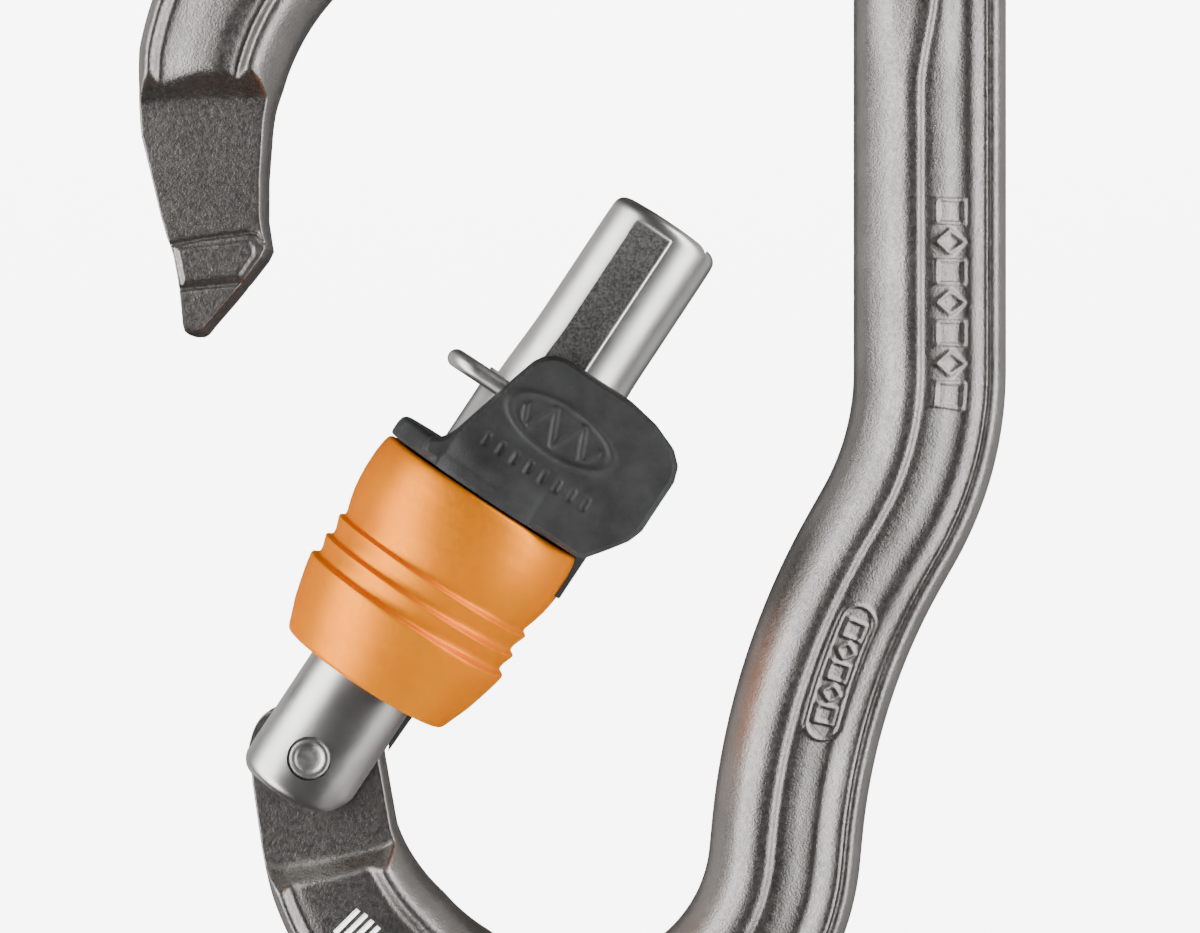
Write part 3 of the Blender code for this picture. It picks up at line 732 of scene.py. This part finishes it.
def build_stage():
    """A pale floor that curves up into a wall behind the carabiner, which hangs above it."""
    low, back, reach, width = -0.26, 0.5, 6.0, 5.0
    profile = [(-reach, low), (back - 0.4, low)]
    profile += [(back - 0.4 + 0.4 * math.sin(a), low + 0.4 - 0.4 * math.cos(a))
                for a in np.linspace(0.0, math.pi / 2, 16)[1:]]
    profile.append((back, 1.4))
    points = [(x, y, z) for x in (-width, width) for y, z in profile]
    count = len(profile)
    faces = [(i, i + 1, i + 1 + count, i + count) for i in range(count - 1)]
    stage = mesh_object("studio_floor", np.array(points) / MM, faces)
    made, _, shader = new_material("pale_floor", 0.0, 0.8, (0.9, 0.9, 0.9))
    shader.inputs["Emission Color"].default_value = (1.0, 1.0, 1.0, 1.0)
    shader.inputs["Emission Strength"].default_value = 5.0
    stage.data.materials.append(made)
    stage.visible_glossy = False  # or the metal would mirror the white and lose its dark edges


def build_light():
    """Two tall soft boxes beside the camera, and two faint ones behind that lift the flanks."""
    world = bpy.data.worlds.new("studio")
    bpy.context.scene.world = world
    world.use_nodes = True
    world.node_tree.nodes["Background"].inputs["Color"].default_value = (1.0, 1.0, 1.0, 1.0)
    world.node_tree.nodes["Background"].inputs["Strength"].default_value = 0.07
    middle = Vector((-0.005, 0.0, -0.045))
    for name, turn, wide, power in BOXES:
        angle = math.radians(turn)
        away = Vector((math.sin(angle), -math.cos(angle), 0.06)) * BOX_AWAY
        area_light(name, middle + away, middle, (wide, BOX_TALL), power)


def build_camera():
    data = bpy.data.cameras.new("view")
    data.sensor_width, data.lens, data.clip_start = 36.0, 78.0, 0.01
    made = bpy.data.objects.new("view", data)
    made.location = (-0.00552, -0.22414, -0.05323)
    made.rotation_euler = (math.pi / 2, 0.0, 0.0)
    bpy.context.scene.collection.objects.link(made)
    bpy.context.scene.camera = made


def place(piece, body, node, slot, material):
    piece.data.materials.clear()
    piece.data.materials.append(material)
    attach(piece, body)
    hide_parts(node)


def face_facets(gate, material):
    """Gives the gate's two flats the facet's grainy finish and its painted shade."""
    gate.data.materials.append(material)
    for face in gate.data.polygons:
        if abs(face.normal.y) > 0.999 and abs(abs(face.center.y) / MM - FACET[4]) < 0.02:
            face.material_index = 1


def print_bars(bar, material):
    """A small block of plain printed bars, laid on the front of the lower web."""
    tilt = math.radians(PRINT_TILT)
    along, across = (math.sin(tilt), -math.cos(tilt)), (math.cos(tilt), math.sin(tilt))
    for k, (start, end) in enumerate(PRINT_BARS):
        near, far = k * PRINT_PITCH, k * PRINT_PITCH + PRINT_WIDE
        lengths = list(np.linspace(start, end, 9))
        edge = [(a, near) for a in lengths] + [(a, far) for a in reversed(lengths)]
        outline = [
            (PRINT_FROM[0] + a * across[0] + c * along[0], PRINT_FROM[1] + a * across[1] + c * along[1])
            for a, c in edge
        ]
        piece = prism(f"printed_bar_{k + 1}", outline, 0.03)
        for vertex in piece.data.vertices:
            start_at = Vector((vertex.co.x, -0.05, vertex.co.z))
            vertex.co.y += bar.ray_cast(start_at, Vector((0.0, 1.0, 0.0)))[1].y
        piece.data.materials.append(material)
        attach(piece, "frame_body")


def dress(node, material):
    """Gives a CAD node that stays in view its own finish."""
    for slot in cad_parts[node].material_slots:
        slot.material = material


def main():
    alloy, bright, black = blasted_alloy(), turned_alloy(), black_nylon()
    spring_steel = steel("spring_steel", 0.3)
    bar = build_bar()
    bpy.context.view_layer.update()
    print_bars(bar, new_material("laser_white", 0.0, 0.6, (0.85, 0.85, 0.83))[0])
    place(bar, "frame_body", "frame", "anodised_alloy", alloy)
    place(build_rivet(), "frame_body", "hinge_rivet", "steel", steel("rivet_steel", 0.4))
    gate = build_gate()
    place(gate, "gate_body", "gate", "turned_alloy", bright)
    face_facets(gate, grainy_facet_painted_shade())
    place(build_ring(), "sleeve_body", "sleeve_ring", "orange_anodised", orange_anodised())
    place(build_cap(), "sleeve_body", "lock_cap", "black_nylon", black)
    bail = on_gate(tube("wire_bail", wire_path(), WIRE_R))
    place(bail, "sleeve_body", "lock_wire", "steel", steel("wire_steel", 0.36))
    for node in ("gate_spring", "sleeve_spring", "spring_seat"):
        dress(node, spring_steel)
    for node in ("gate_plunger", "sleeve_bush"):
        dress(node, black)
    build_stage()
    build_light()
    build_camera()


main()
bpy.context.view_layer.update()
